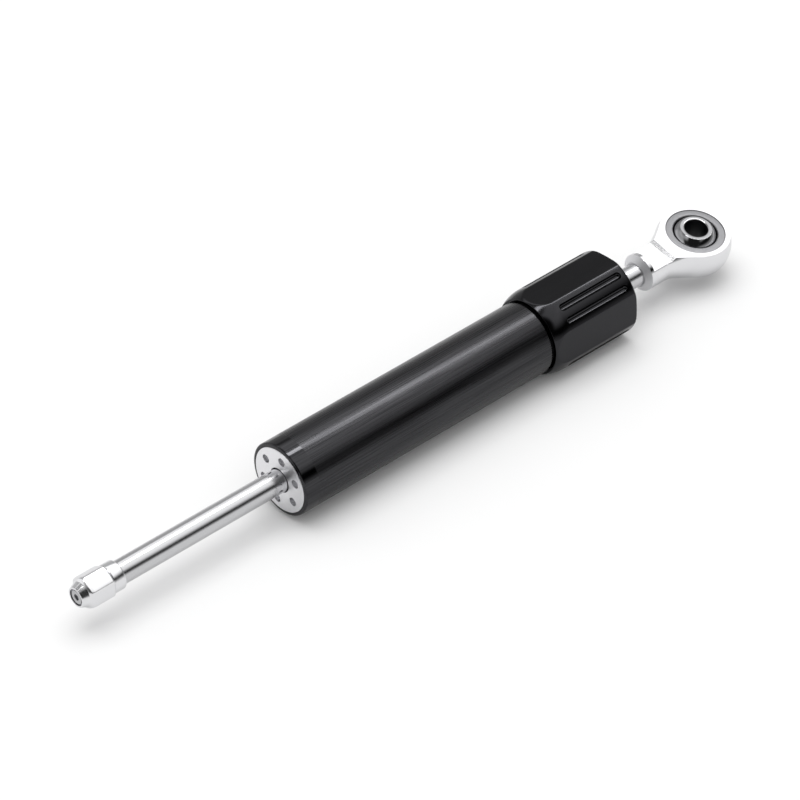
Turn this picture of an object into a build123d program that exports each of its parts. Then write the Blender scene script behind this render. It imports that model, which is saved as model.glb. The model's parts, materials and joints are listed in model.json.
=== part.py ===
from build123d import *
from math import cos, radians, sin, tan
import os

os.makedirs("parts", exist_ok=True)

# Steering damper, real size in mm. X runs along the rod towards the rod end, Z is up.
# The origin is on the rod's axis, halfway along the tube that the clamp holds.

# Fits between pieces, each taken on the radius or on one face.
fit_gap = 0.02
running_gap = 0.05
seal_gap = 0.03
moving_gap = 0.3

# Damper tube and the travel inside it.
tube_diameter = 32.0
tube_wall = 1.75
tube_length = 133.5
tube_rim_setback = 0.3
tube_edge = 0.4
travel_out = 5.0
stop_margin = 1.0

# Through rod and what it carries outside the body.
rod_diameter = 10.0
knob_clearance = 7.0
rod_bore = 5.0
stub_diameter = 8.0
rod_edge = 0.3
cross_hole_diameter = 2.0
cross_hole_offset = 2.0

# Front gland: lip, wiper, bush, seal and backing washer lie one behind the other.
gland_lip = 1.2
gland_mouth_gap = 0.4
gland_face_edge = 0.25
pin_hole_count = 6
pin_hole_diameter = 3.7
pin_hole_depth = 3.0
pin_hole_land = 2.38
pin_hole_turn = 42.0
wiper_width = 3.0
wiper_height = 2.5
bush_length = 8.0
bush_wall = 1.0
bush_shoulder = 1.2
seal_width = 4.0
seal_height = 3.0
washer_thickness = 1.5
ring_groove_land = 2.2

# Seal rings let into the pieces that they seal, round where still and square where they slide.
o_ring_section = 1.8
o_ring_side_gap = 0.15

# Rear cap with flats and slots.
cap_overhang = 2.7
cap_length = 46.0
cap_setback = 1.2
cap_shoulder_height = 0.9
cap_nose_drop = 1.8
cap_nose_length = 7.5
cap_edge = 1.4
cap_flat_count = 4
cap_flat_half_angle = 23.2
cap_spigot = 14.0
cap_spigot_wall = 1.6
rear_bush_length = 6.0
clip_land = 1.0
slot_width = 3.3
slot_depth = 1.5
slot_side_turn = 9.5
slot_start = 8.3
slot_end_margin = 3.1

# Compensator between the bulkhead and the cap.
bulkhead_length = 12.0
bulkhead_flange = 4.4
bulkhead_port_diameter = 2.4
bulkhead_port_count = 3
bulkhead_bush_length = 9.0
float_length = 9.0
float_travel_back = 3.0
spring_wire = 2.0
spring_side_gap = 1.4

# Piston on the rod.
piston_length = 11.0
piston_side_gap = 0.35
band_width = 6.0
band_thickness = 1.0
port_count = 6
port_diameter = 2.8
shim_thickness = 0.4
shim_lap = 1.3
clip_thickness = 1.2
clip_depth = 0.4
clip_height = 1.9
clip_opening = 5.0

# Adjuster at the rod's free end.
collar_length = 5.6
collar_diameter = 12.3
collar_edge = 0.5
knob_across_flats = 13.0
knob_diameter = 14.6
knob_body = 9.4
knob_side_count = 6
knob_corner_turn = 31.2
knob_rear_edge = 0.4
knob_front_edge = 1.1
knob_front_drop = 0.45
knob_step = 0.8
knob_step_radius = 5.5
knob_nose = 2.9
knob_nose_radius = 4.25
knob_nose_bore = 3.6
knob_nose_depth = 1.9
knob_web = 4.7
spindle_head_radius = 2.9
spindle_head_setback = 0.3
spindle_socket_radius = 1.35
spindle_socket_depth = 1.1
spindle_radius = 2.2
spindle_reach = 17.0
spindle_tail_radius = 1.5
spindle_tail = 5.0
detent_ball_radius = 0.75
detent_ball_show = 0.55
detent_spring_radius = 0.6
detent_spring_length = 2.4

# Metering needle in the rod's bore, drawn back from its seat when the damper is soft.
needle_lift = 2.4
needle_neck_radius = 1.7
needle_tip_radius = 0.4
needle_point = 4.0
needle_neck_lead = 4.0
needle_socket_spare = 1.0
needle_end_gap = 0.5
seat_bore = 2.4

# Spherical rod end.
eye_turn = 14.3
head_radius = 16.3
head_face_radius = 15.0
head_thickness = 12.2
race_radius = 12.83
race_thickness = 11.8
race_dish_radius = 10.7
race_dish_slope = 25.0
ball_radius = 10.6
ball_width = 16.2
eye_bore = 10.0
eye_bore_edge = 0.55
shank_radius = 8.3
shank_front_radius = 5.6
shank_front_edge = 1.9
shank_flat = 10.4
shank_flat_start = 3.6
shank_length = 34.2
shank_thread_depth = 13.5
rod_end_gap = 16.5
neck_flare_start = 10.8
neck_flare_end = 25.7
neck_flare_radius = 14.1
face_reach = 18.3
face_slope = 1.8

# Radii and stations that follow from the sizes above.
rod_radius = rod_diameter / 2
rod_bore_radius = rod_bore / 2
stub_radius = stub_diameter / 2
tube_radius = tube_diameter / 2
tube_inner = tube_radius - tube_wall
cap_radius = tube_radius + cap_overhang
tube_front = -tube_length / 2
tube_rear = tube_length / 2
wiper_radius = rod_radius + wiper_height
bush_radius = rod_radius + bush_wall
seal_radius = rod_radius + seal_height
o_ring_radius = o_ring_section / 2

wiper_front = tube_front + gland_lip
bush_front = wiper_front + wiper_width + bush_shoulder
seal_front = bush_front + bush_length + bush_shoulder
washer_front = seal_front + seal_width
gland_rear = washer_front + washer_thickness

piston_front = gland_rear + travel_out + stop_margin + clip_thickness + shim_thickness
piston_rear = piston_front + piston_length
cap_front = tube_rear + cap_setback
cap_rear = cap_front + cap_length
spigot_front = cap_front - cap_spigot
bulkhead_front = spigot_front - bulkhead_flange
bulkhead_rear = bulkhead_front + bulkhead_length
travel_in = bulkhead_front - piston_rear - shim_thickness - clip_thickness - stop_margin

rear_wiper_front = cap_rear - gland_lip - wiper_width
rear_bush_front = rear_wiper_front - bush_shoulder - rear_bush_length
rear_seal_front = rear_bush_front - bush_shoulder - seal_width
rear_clip_front = rear_seal_front - clip_thickness
cap_chamber_rear = rear_clip_front - clip_land
spigot_radius = tube_inner - fit_gap
chamber_radius = spigot_radius - cap_spigot_wall
float_front = bulkhead_rear + float_travel_back + stop_margin
float_rear = float_front + float_length

collar_rear = tube_front - travel_in - knob_clearance
collar_front = collar_rear - collar_length
knob_rear = collar_front - moving_gap
knob_shoulder = knob_rear - knob_body
knob_cone = knob_shoulder - knob_front_edge
knob_neck = knob_cone - knob_step
knob_tip = knob_neck - knob_nose
nose_floor = knob_tip + knob_nose_depth
stub_front = nose_floor + knob_web
shank_front = cap_rear + rod_end_gap
eye_x = shank_front + shank_length
rod_rear = shank_front + shank_thread_depth


def turned(*points, mode=Mode.ADD):
    """Turns the outline through points (station, radius) about the rod's axis."""
    with BuildSketch(Plane.XZ) as outline:
        with BuildLine():
            Polyline(*points, close=True)
        make_face()
    revolve(outline.sketch, axis=Axis.X, mode=mode)


def sleeve(start, end, inner, outer, mode=Mode.ADD):
    """Turns a plain ring from one station to the other."""
    turned((start, inner), (end, inner), (end, outer), (start, outer), mode=mode)


def drilled(start, end, hole, count, pitch_radius, turn=0):
    """Cuts a circle of holes that run along the rod's axis."""
    with BuildSketch(Plane.YZ.offset(start)) as holes:
        with PolarLocations(pitch_radius, count, start_angle=turn):
            Circle(hole / 2)
    extrude(holes.sketch, amount=end - start, mode=Mode.SUBTRACT)


def bored(start, end, radius):
    """Cuts a round hole along the rod's axis."""
    with BuildSketch(Plane.YZ.offset(start)) as hole:
        Circle(radius)
    extrude(hole.sketch, amount=end - start, mode=Mode.SUBTRACT)


def o_ring(station, outer):
    """Turns a ring of round section that touches the wall outside it."""
    with BuildSketch(Plane.XZ) as section:
        with Locations((station, outer - o_ring_radius)):
            Circle(o_ring_radius)
    revolve(section.sketch, axis=Axis.X)


def square_ring(station, outer):
    """Turns a ring of square section that touches the wall outside it."""
    sleeve(station - o_ring_radius, station + o_ring_radius, outer - o_ring_section, outer)


def ring_groove(station, outer):
    """Cuts the groove that an outside ring lies in."""
    side = o_ring_radius + o_ring_side_gap
    floor = outer - o_ring_section - o_ring_side_gap
    sleeve(station - side, station + side, floor, outer + moving_gap, mode=Mode.SUBTRACT)


def open_ring(start, inner, outer):
    """Turns a flat clip, open on one side, that snaps into a groove."""
    sleeve(start, start + clip_thickness, inner, outer)
    with BuildSketch(Plane.YZ.offset(start)) as opening:
        with Locations((outer, 0)):
            Rectangle(outer, clip_opening)
    extrude(opening.sketch, amount=clip_thickness, mode=Mode.SUBTRACT)


def save(piece, name):
    """Labels a finished piece and writes its file."""
    piece.label = name
    export_step(piece, "parts/" + name + ".step")


# Outer tube: black, plain bore, its front rim a little behind the gland's face.
with BuildPart() as outer_tube:
    rim = tube_front + tube_rim_setback
    turned(
        (rim, tube_inner),
        (tube_rear, tube_inner),
        (tube_rear, tube_radius - tube_edge),
        (tube_rear - tube_edge, tube_radius),
        (rim + tube_edge, tube_radius),
        (rim, tube_radius - tube_edge),
    )
save(outer_tube.part, "outer_tube")

# Front gland: screwed into the tube, six blind holes for a pin spanner round the rod.
with BuildPart() as front_gland:
    gland_radius = tube_inner - fit_gap
    mouth = rod_radius + gland_mouth_gap
    turned(
        (tube_front, mouth),
        (wiper_front, mouth),
        (wiper_front, wiper_radius + fit_gap),
        (wiper_front + wiper_width, wiper_radius + fit_gap),
        (wiper_front + wiper_width, mouth),
        (bush_front, mouth),
        (bush_front, bush_radius + fit_gap),
        (bush_front + bush_length, bush_radius + fit_gap),
        (bush_front + bush_length, mouth),
        (seal_front, mouth),
        (seal_front, seal_radius + fit_gap),
        (gland_rear, seal_radius + fit_gap),
        (gland_rear, gland_radius),
        (tube_front + gland_face_edge, gland_radius),
        (tube_front, gland_radius - gland_face_edge),
    )
    drilled(
        tube_front,
        tube_front + pin_hole_depth,
        pin_hole_diameter,
        pin_hole_count,
        gland_radius - pin_hole_land - pin_hole_diameter / 2,
        pin_hole_turn,
    )
    gland_ring_x = gland_rear - ring_groove_land - o_ring_radius
    ring_groove(gland_ring_x, gland_radius)
save(front_gland.part, "front_gland")

with BuildPart() as front_wiper:
    sleeve(wiper_front + fit_gap, wiper_front + wiper_width - fit_gap, rod_radius + seal_gap, wiper_radius)
save(front_wiper.part, "front_wiper")

with BuildPart() as front_bush:
    sleeve(bush_front + fit_gap, bush_front + bush_length - fit_gap, rod_radius + running_gap, bush_radius)
save(front_bush.part, "front_bush")

with BuildPart() as front_rod_seal:
    sleeve(seal_front + fit_gap, washer_front - fit_gap, rod_radius + seal_gap, seal_radius)
save(front_rod_seal.part, "front_rod_seal")

with BuildPart() as front_seal_washer:
    sleeve(washer_front, gland_rear, rod_radius + moving_gap, seal_radius)
save(front_seal_washer.part, "front_seal_washer")

with BuildPart() as front_o_ring:
    o_ring(gland_ring_x, tube_inner - fit_gap)
save(front_o_ring.part, "front_o_ring")

# Bulkhead: closes the working chamber and lets the oil through to the compensator.
with BuildPart() as rear_bulkhead:
    bulkhead_radius = tube_inner - fit_gap
    bulkhead_bush_front = bulkhead_rear - bulkhead_bush_length
    bulkhead_mouth = rod_radius + moving_gap
    turned(
        (bulkhead_front, bulkhead_mouth),
        (bulkhead_bush_front, bulkhead_mouth),
        (bulkhead_bush_front, bush_radius + fit_gap),
        (bulkhead_rear, bush_radius + fit_gap),
        (bulkhead_rear, chamber_radius - fit_gap),
        (spigot_front - fit_gap, chamber_radius - fit_gap),
        (spigot_front - fit_gap, bulkhead_radius),
        (bulkhead_front, bulkhead_radius),
    )
    drilled(
        bulkhead_front,
        bulkhead_rear,
        bulkhead_port_diameter,
        bulkhead_port_count,
        (bush_radius + chamber_radius) / 2,
    )
    bulkhead_ring_x = (bulkhead_front + spigot_front) / 2
    ring_groove(bulkhead_ring_x, bulkhead_radius)
save(rear_bulkhead.part, "rear_bulkhead")

with BuildPart() as bulkhead_bush:
    sleeve(bulkhead_bush_front + fit_gap, bulkhead_rear, rod_radius + running_gap, bush_radius)
save(bulkhead_bush.part, "bulkhead_bush")

with BuildPart() as bulkhead_o_ring:
    o_ring(bulkhead_ring_x, tube_inner - fit_gap)
save(bulkhead_o_ring.part, "bulkhead_o_ring")

# Rear cap: rounded nose, four flats, and a pair of long slots on each lobe between them.
with BuildPart() as rear_cap:
    cap_mouth = rod_radius + gland_mouth_gap
    nose_front_radius = cap_radius - cap_nose_drop
    nose_rear = cap_front + cap_nose_length
    shoulder_front = tube_rear + fit_gap
    shoulder_radius = spigot_radius + cap_shoulder_height
    with BuildSketch(Plane.XZ):
        with BuildLine():
            Polyline(
                (cap_front, nose_front_radius),
                (cap_front, shoulder_radius),
                (shoulder_front, shoulder_radius),
                (shoulder_front, spigot_radius),
                (spigot_front, spigot_radius),
                (spigot_front, chamber_radius),
                (cap_chamber_rear, chamber_radius),
                (cap_chamber_rear, seal_radius + fit_gap),
                (rear_clip_front, seal_radius + fit_gap),
                (rear_clip_front, seal_radius + clip_depth),
                (rear_seal_front, seal_radius + clip_depth),
                (rear_seal_front, seal_radius + fit_gap),
                (rear_seal_front + seal_width, seal_radius + fit_gap),
                (rear_seal_front + seal_width, cap_mouth),
                (rear_bush_front, cap_mouth),
                (rear_bush_front, bush_radius + fit_gap),
                (rear_bush_front + rear_bush_length, bush_radius + fit_gap),
                (rear_bush_front + rear_bush_length, cap_mouth),
                (rear_wiper_front, cap_mouth),
                (rear_wiper_front, wiper_radius + fit_gap),
                (rear_wiper_front + wiper_width, wiper_radius + fit_gap),
                (rear_wiper_front + wiper_width, cap_mouth),
                (cap_rear, cap_mouth),
                (cap_rear, cap_radius - cap_edge),
                (cap_rear - cap_edge, cap_radius),
                (nose_rear, cap_radius),
            )
            TangentArc(
                (nose_rear, cap_radius),
                (cap_front, nose_front_radius),
                tangent=(-1, 0),
            )
        make_face()
    revolve(axis=Axis.X)
    flat_distance = cap_radius * cos(radians(cap_flat_half_angle))
    with BuildSketch(Plane.YZ.offset(cap_front)):
        with PolarLocations(flat_distance + cap_radius / 2, cap_flat_count):
            Rectangle(cap_radius, 2 * cap_radius)
    extrude(amount=cap_length, mode=Mode.SUBTRACT)
    slot_front = cap_front + slot_start
    slot_rear = cap_rear - slot_end_margin
    lobe_turn = 360 / cap_flat_count
    for lobe in range(cap_flat_count):
        for side in (-1, 1):
            turn = (lobe + 1 / 2) * lobe_turn + side * slot_side_turn
            outward = (0, cos(radians(turn)), sin(radians(turn)))
            lobe_top = Plane(origin=(0, 0, 0), x_dir=(1, 0, 0), z_dir=outward)
            with BuildSketch(lobe_top.offset(cap_radius - slot_depth)):
                with Locations(((slot_front + slot_rear) / 2, 0)):
                    SlotOverall(slot_rear - slot_front, slot_width)
            extrude(amount=slot_depth + cap_edge, mode=Mode.SUBTRACT)
save(rear_cap.part, "rear_cap")

with BuildPart() as rear_bush:
    rear_bush_rear = rear_bush_front + rear_bush_length
    sleeve(rear_bush_front + fit_gap, rear_bush_rear - fit_gap, rod_radius + running_gap, bush_radius)
save(rear_bush.part, "rear_bush")

with BuildPart() as rear_rod_seal:
    rear_seal_rear = rear_seal_front + seal_width
    sleeve(rear_seal_front + fit_gap, rear_seal_rear - fit_gap, rod_radius + seal_gap, seal_radius)
save(rear_rod_seal.part, "rear_rod_seal")

with BuildPart() as rear_seal_clip:
    seal_clip_outer = seal_radius + clip_depth - fit_gap
    open_ring(rear_clip_front, seal_clip_outer - clip_height, seal_clip_outer)
save(rear_seal_clip.part, "rear_seal_clip")

with BuildPart() as rear_wiper:
    rear_wiper_rear = rear_wiper_front + wiper_width
    sleeve(rear_wiper_front + fit_gap, rear_wiper_rear - fit_gap, rod_radius + seal_gap, wiper_radius)
save(rear_wiper.part, "rear_wiper")

# Compensator: a ring piston floats on the rod against a spring and takes up the oil's growth.
with BuildPart() as float_piston:
    float_radius = chamber_radius - running_gap
    sleeve(float_front, float_rear, rod_radius + running_gap, float_radius)
    float_ring_x = (float_front + float_rear) / 2
    ring_half = o_ring_radius + o_ring_side_gap
    rod_ring_outer = rod_radius + seal_gap + o_ring_section
    ring_groove(float_ring_x, float_radius)
    sleeve(
        float_ring_x - ring_half,
        float_ring_x + ring_half,
        rod_radius,
        rod_ring_outer + o_ring_side_gap,
        mode=Mode.SUBTRACT,
    )
save(float_piston.part, "float_piston")

with BuildPart() as float_outer_ring:
    square_ring(float_ring_x, chamber_radius - seal_gap)
save(float_outer_ring.part, "float_outer_ring")

with BuildPart() as float_inner_ring:
    square_ring(float_ring_x, rod_ring_outer)
save(float_inner_ring.part, "float_inner_ring")

with BuildPart() as float_spring:
    spring_outer = chamber_radius - spring_side_gap
    spring_inner = spring_outer - spring_wire
    sleeve(float_rear + fit_gap, cap_chamber_rear - fit_gap, spring_inner, spring_outer)
save(float_spring.part, "float_spring")

# Through rod: hollow up to the piston, with a seat for the needle and a cross hole on each side.
with BuildPart() as piston_rod:
    seat_x = (piston_front + piston_rear) / 2
    front_hole_x = piston_front - shim_thickness - clip_thickness - cross_hole_offset
    rear_hole_x = piston_rear + shim_thickness + clip_thickness + cross_hole_offset
    turned(
        (stub_front, rod_bore_radius),
        (stub_front, stub_radius - rod_edge),
        (stub_front + rod_edge, stub_radius),
        (collar_rear, stub_radius),
        (collar_rear, rod_radius),
        (rod_rear - rod_edge, rod_radius),
        (rod_rear, rod_radius - rod_edge),
        (rod_rear, 0),
        (rear_hole_x + cross_hole_diameter, 0),
        (rear_hole_x + cross_hole_diameter, seat_bore / 2),
        (seat_x, seat_bore / 2),
        (seat_x, rod_bore_radius),
    )
    front_clip_x = piston_front - shim_thickness - clip_thickness
    rear_clip_x = piston_rear + shim_thickness
    for groove_x in (front_clip_x, rear_clip_x):
        sleeve(
            groove_x - fit_gap,
            groove_x + clip_thickness + fit_gap,
            rod_radius - clip_depth,
            rod_radius + clip_height,
            mode=Mode.SUBTRACT,
        )
    with BuildSketch(Plane.XY):
        with Locations((front_hole_x, 0), (rear_hole_x, 0)):
            Circle(cross_hole_diameter / 2)
    extrude(amount=rod_diameter, both=True, mode=Mode.SUBTRACT)
save(piston_rod.part, "piston_rod")

# Piston: axial oil ports under a shim on either side, and a groove for the band.
with BuildPart() as piston:
    piston_radius = tube_inner - piston_side_gap
    band_outer = tube_inner - running_gap
    band_inner = band_outer - band_thickness
    band_front = (piston_front + piston_rear - band_width) / 2
    band_rear = band_front + band_width
    sleeve(piston_front, piston_rear, rod_radius + fit_gap, piston_radius)
    sleeve(
        band_front - running_gap,
        band_rear + running_gap,
        band_inner - running_gap,
        tube_radius,
        mode=Mode.SUBTRACT,
    )
    port_pitch = (rod_radius + band_inner) / 2
    drilled(piston_front, piston_rear, port_diameter, port_count, port_pitch)
save(piston.part, "piston")

with BuildPart() as piston_band:
    sleeve(band_front, band_rear, band_inner, band_outer)
save(piston_band.part, "piston_band")

shim_radius = port_pitch + port_diameter / 2 + shim_lap

with BuildPart() as piston_shim_front:
    sleeve(piston_front - shim_thickness, piston_front, rod_radius + fit_gap, shim_radius)
save(piston_shim_front.part, "piston_shim_front")

with BuildPart() as piston_shim_rear:
    sleeve(piston_rear, piston_rear + shim_thickness, rod_radius + fit_gap, shim_radius)
save(piston_shim_rear.part, "piston_shim_rear")


clip_inner = rod_radius - clip_depth + fit_gap
clip_outer = rod_radius + clip_height

with BuildPart() as piston_clip_front:
    open_ring(front_clip_x, clip_inner, clip_outer)
save(piston_clip_front.part, "piston_clip_front")

with BuildPart() as piston_clip_rear:
    open_ring(rear_clip_x, clip_inner, clip_outer)
save(piston_clip_rear.part, "piston_clip_rear")

# Detent collar: fixed on the rod behind the knob, its ball clicks round a track in the knob.
with BuildPart() as detent_collar:
    collar_radius = collar_diameter / 2
    detent_pitch = (stub_radius + collar_radius) / 2
    detent_x = collar_front - detent_ball_show + detent_ball_radius
    detent_spring_front = detent_x + detent_ball_radius + fit_gap
    detent_spring_rear = detent_spring_front + detent_spring_length
    turned(
        (collar_front, stub_radius + fit_gap),
        (collar_rear - fit_gap, stub_radius + fit_gap),
        (collar_rear - fit_gap, collar_radius - collar_edge),
        (collar_rear - collar_edge, collar_radius),
        (collar_front + knob_rear_edge, collar_radius),
        (collar_front, collar_radius - knob_rear_edge),
    )
    detent_hole = 2 * (detent_ball_radius + fit_gap)
    drilled(collar_front, detent_spring_rear + fit_gap, detent_hole, 1, detent_pitch)
save(detent_collar.part, "detent_collar")

with BuildPart() as detent_ball:
    with Locations((detent_x, detent_pitch, 0)):
        Sphere(detent_ball_radius)
save(detent_ball.part, "detent_ball")

with BuildPart() as detent_spring:
    with BuildSketch(Plane.YZ.offset(detent_spring_front)):
        with Locations((detent_pitch, 0)):
            Circle(detent_spring_radius)
    extrude(amount=detent_spring_length)
save(detent_spring.part, "detent_spring")

# Adjuster knob: six flats, a cone down to the nose, and the spindle's head let into the nose.
with BuildPart() as adjuster_knob:
    knob_radius = knob_diameter / 2
    turned(
        (knob_rear, stub_radius + running_gap),
        (knob_rear, knob_radius - knob_rear_edge),
        (knob_rear - knob_rear_edge, knob_radius),
        (knob_shoulder, knob_radius),
        (knob_cone, knob_radius - knob_front_drop),
        (knob_neck, knob_step_radius),
        (knob_tip, knob_nose_radius),
        (knob_tip, knob_nose_bore),
        (nose_floor, knob_nose_bore),
        (nose_floor, spindle_radius + fit_gap),
        (stub_front - moving_gap, spindle_radius + fit_gap),
        (stub_front - moving_gap, stub_radius + running_gap),
    )
    with BuildSketch(Plane.YZ.offset(knob_tip)):
        RegularPolygon(
            knob_across_flats / 2,
            knob_side_count,
            major_radius=False,
            rotation=knob_corner_turn,
        )
    extrude(amount=knob_rear - knob_tip, mode=Mode.INTERSECT)
    with BuildSketch(Plane.XZ):
        with Locations((detent_x, detent_pitch)):
            Circle(detent_ball_radius + running_gap)
    revolve(axis=Axis.X, mode=Mode.SUBTRACT)
save(adjuster_knob.part, "adjuster_knob")

with BuildPart() as adjuster_spindle:
    spindle_front = knob_tip + spindle_head_setback
    spindle_rear = nose_floor + spindle_reach
    turned(
        (spindle_front + spindle_socket_depth, 0),
        (spindle_front + spindle_socket_depth, spindle_socket_radius),
        (spindle_front, spindle_socket_radius),
        (spindle_front, spindle_head_radius),
        (nose_floor - fit_gap, spindle_head_radius),
        (nose_floor - fit_gap, spindle_radius),
        (spindle_rear, spindle_radius),
        (spindle_rear, spindle_tail_radius),
        (spindle_rear + spindle_tail, spindle_tail_radius),
        (spindle_rear + spindle_tail, 0),
    )
save(adjuster_spindle.part, "adjuster_spindle")

# Metering needle: screwed on the spindle's tail, its point throttles the seat in the rod.
with BuildPart() as metering_needle:
    needle_radius = rod_bore_radius - running_gap
    needle_front = spindle_rear + needle_end_gap
    needle_socket_rear = spindle_rear + spindle_tail + needle_socket_spare
    needle_neck_x = front_hole_x - needle_neck_lead
    seat_share = (seat_bore / 2 - needle_tip_radius) / (needle_neck_radius - needle_tip_radius)
    needle_tip_x = seat_x - needle_lift + needle_point * seat_share
    turned(
        (needle_socket_rear, 0),
        (needle_socket_rear, spindle_tail_radius + running_gap),
        (needle_front, spindle_tail_radius + running_gap),
        (needle_front, needle_radius),
        (needle_neck_x, needle_radius),
        (needle_neck_x, needle_neck_radius),
        (needle_tip_x - needle_point, needle_neck_radius),
        (needle_tip_x, needle_tip_radius),
        (needle_tip_x, 0),
    )
save(metering_needle.part, "metering_needle")

# Spherical rod end, drawn with its eye upright and then turned about the rod.
eye_axis = Axis((eye_x, 0, 0), (0, 0, 1))
with BuildPart() as rod_end_body:
    half_head = head_thickness / 2
    eye_section = Plane(origin=(eye_x, 0, 0), x_dir=(1, 0, 0), z_dir=(0, -1, 0))
    face_x = eye_x - face_reach
    with BuildSketch(Plane.XZ):
        with BuildLine():
            Polyline(
                (shank_front + neck_flare_start, shank_radius),
                (shank_front + shank_front_edge, shank_radius),
                (shank_front, shank_front_radius),
                (shank_front, 0),
                (eye_x, 0),
                (eye_x, neck_flare_radius),
                (shank_front + neck_flare_end, neck_flare_radius),
            )
            TangentArc(
                (shank_front + neck_flare_start, shank_radius),
                (shank_front + neck_flare_end, neck_flare_radius),
                tangent=(1, 0),
            )
        make_face()
    revolve(axis=Axis.X)
    with BuildSketch(Plane.XZ):
        with BuildLine():
            Polyline(
                (shank_front, 0),
                (shank_front, head_radius),
                (shank_front + shank_flat_start, head_radius),
                (shank_front + shank_flat_start, shank_flat / 2),
                (face_x - face_slope, shank_flat / 2),
                (face_x, half_head),
                (eye_x, half_head),
                (eye_x, 0),
                close=True,
            )
        make_face()
        mirror(about=Plane.XZ)
    extrude(amount=head_radius, both=True, mode=Mode.INTERSECT)
    with BuildSketch(eye_section):
        with BuildLine():
            rim_top = (head_face_radius, half_head)
            rim_foot = (head_face_radius, -half_head)
            Polyline(rim_foot, (0, -half_head), (0, half_head), rim_top)
            ThreePointArc(rim_top, (head_radius, 0), rim_foot)
        make_face()
    revolve(axis=eye_axis)
    with Locations((eye_x, 0, 0)):
        Cylinder(race_radius + fit_gap, head_thickness, mode=Mode.SUBTRACT)
    bored(shank_front, rod_rear + fit_gap, rod_radius + fit_gap)
save(rod_end_body.part.rotate(Axis.X, eye_turn), "rod_end_body")

with BuildPart() as rod_end_race:
    half_race = race_thickness / 2
    dish_floor = half_race - race_dish_radius * tan(radians(race_dish_slope))
    with BuildSketch(eye_section):
        with BuildLine():
            Polyline(
                (0, dish_floor),
                (race_dish_radius, half_race),
                (race_radius, half_race),
                (race_radius, -half_race),
                (race_dish_radius, -half_race),
                (0, -dish_floor),
                close=True,
            )
        make_face()
    revolve(axis=eye_axis)
    with Locations((eye_x, 0, 0)):
        Sphere(ball_radius + running_gap, mode=Mode.SUBTRACT)
save(rod_end_race.part.rotate(Axis.X, eye_turn), "rod_end_race")

with BuildPart() as rod_end_ball:
    with Locations((eye_x, 0, 0)):
        Sphere(ball_radius)
        Cylinder(ball_radius, ball_width, mode=Mode.INTERSECT)
        Cylinder(eye_bore / 2, ball_width, mode=Mode.SUBTRACT)
    bore_edges = rod_end_ball.edges().filter_by(GeomType.CIRCLE).filter_by(
        lambda edge: abs(edge.radius - eye_bore / 2) < fit_gap
    )
    chamfer(bore_edges, eye_bore_edge)
save(rod_end_ball.part.rotate(Axis.X, eye_turn), "rod_end_ball")
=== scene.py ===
import json
import math
import bmesh
import bpy
import numpy as np
from mathutils import Matrix, Vector


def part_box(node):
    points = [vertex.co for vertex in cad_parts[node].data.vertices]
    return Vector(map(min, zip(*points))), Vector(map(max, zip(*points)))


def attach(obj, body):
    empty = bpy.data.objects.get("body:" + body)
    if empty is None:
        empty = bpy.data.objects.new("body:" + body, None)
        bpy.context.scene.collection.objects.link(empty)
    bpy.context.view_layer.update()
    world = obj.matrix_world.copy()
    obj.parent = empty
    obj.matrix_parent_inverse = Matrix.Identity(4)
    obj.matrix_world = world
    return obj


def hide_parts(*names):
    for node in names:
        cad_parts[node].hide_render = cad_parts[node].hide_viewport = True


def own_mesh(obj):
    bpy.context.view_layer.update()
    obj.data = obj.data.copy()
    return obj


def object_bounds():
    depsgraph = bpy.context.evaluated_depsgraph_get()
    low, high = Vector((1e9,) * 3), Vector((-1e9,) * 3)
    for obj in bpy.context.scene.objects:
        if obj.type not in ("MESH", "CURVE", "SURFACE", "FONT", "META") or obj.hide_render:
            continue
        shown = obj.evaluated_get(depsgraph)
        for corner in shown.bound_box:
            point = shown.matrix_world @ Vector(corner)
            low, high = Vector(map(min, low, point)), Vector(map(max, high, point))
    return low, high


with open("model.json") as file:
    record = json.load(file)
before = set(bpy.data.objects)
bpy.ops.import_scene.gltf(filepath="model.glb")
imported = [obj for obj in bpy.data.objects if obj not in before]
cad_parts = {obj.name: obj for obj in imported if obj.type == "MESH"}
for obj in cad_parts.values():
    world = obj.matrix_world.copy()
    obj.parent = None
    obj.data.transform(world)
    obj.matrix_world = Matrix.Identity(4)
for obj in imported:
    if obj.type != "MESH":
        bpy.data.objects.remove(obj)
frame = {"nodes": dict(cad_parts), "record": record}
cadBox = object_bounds()
cadNodes = frame["nodes"]
mm = 0.001
mergeDistance = 0.002 * mm
sharpAngle = 35  # degrees between two faces, from which their edge is crisp
ringGap = 0.02  # mm round a ring in its recess
ringRound = 0.1  # mm, the rounding of a recess's edges
print("frame: loaded", len(cadNodes), "nodes")


# Shared helpers

def linearColour(code):
    # from sRGB hex to linear
    channels = [int(code[i:i + 2], 16) / 255 for i in (1, 3, 5)]
    return [c / 12.92 if c <= 0.04045 else ((c + 0.055) / 1.055) ** 2.4 for c in channels] + [1.0]


def addNode(tree, kind, values=None, links=None, **settings):
    node = tree.nodes.new(kind)
    for name, value in settings.items():
        setattr(node, name, value)
    for socket, value in (values or {}).items():
        node.inputs[socket].default_value = value
    for socket, (source, output) in (links or {}).items():
        tree.links.new(source.outputs[output], node.inputs[socket])
    return node


def startMaterial(name, colour, metallic, roughness):
    material = bpy.data.materials.new(name)
    material.use_nodes = True
    shader = material.node_tree.nodes["Principled BSDF"]
    shader.inputs["Base Color"].default_value = linearColour(colour)
    shader.inputs["Metallic"].default_value = metallic
    shader.inputs["Roughness"].default_value = roughness
    return material, material.node_tree, shader


def frontOf(node):
    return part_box(node)[0].x / mm


def rearOf(node):
    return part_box(node)[1].x / mm


def reachOf(node):
    # radius of a turned node
    return (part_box(node)[1].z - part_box(node)[0].z) / 2 / mm


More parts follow.
